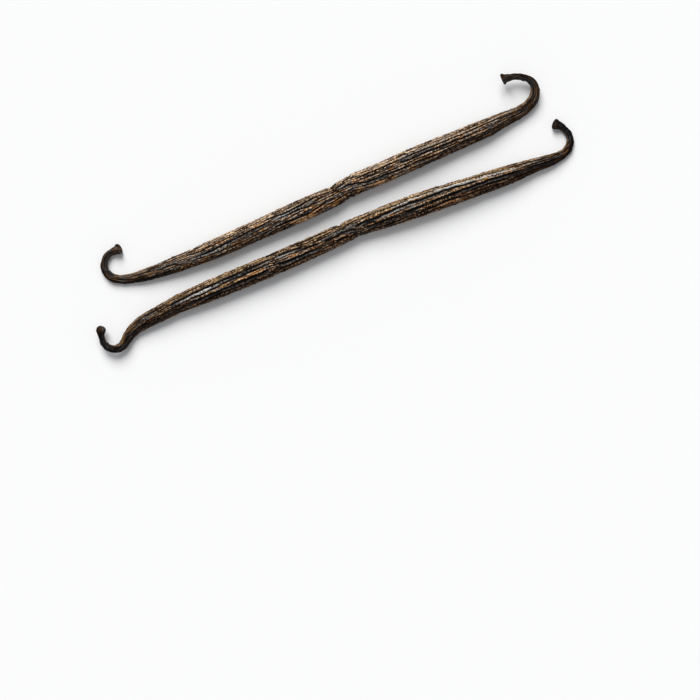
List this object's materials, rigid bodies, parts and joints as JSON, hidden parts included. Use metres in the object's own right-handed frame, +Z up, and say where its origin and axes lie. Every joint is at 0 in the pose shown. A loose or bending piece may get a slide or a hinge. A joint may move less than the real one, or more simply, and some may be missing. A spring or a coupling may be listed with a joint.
{
  "type": "pair of vanilla pods",
  "caption": "Long, slim cured vanilla pods lying side by side, dark brown, deeply wrinkled lengthwise, with hooked and flared ends.",
  "frame": {"origin": "on the ground, under the middle of the pair's bounding box", "axes": "+X along the pods, +Y from the front pod to the back pod, +Z up"},
  "size_m": [0.1912, 0.0424, 0.0068],
  "materials": {
    "pod_back_skin": "cured skin in long folds, warm mid brown on the crests and nearly black in the grooves, slightly oily",
    "pod_front_skin": "cured skin in long folds, a little darker and glossier, with oily strands that shine"
  },
  "bodies": {
    "root": {"pod_back": "pod_back_skin", "pod_front": "pod_front_skin"}
  },
  "joints": []
}
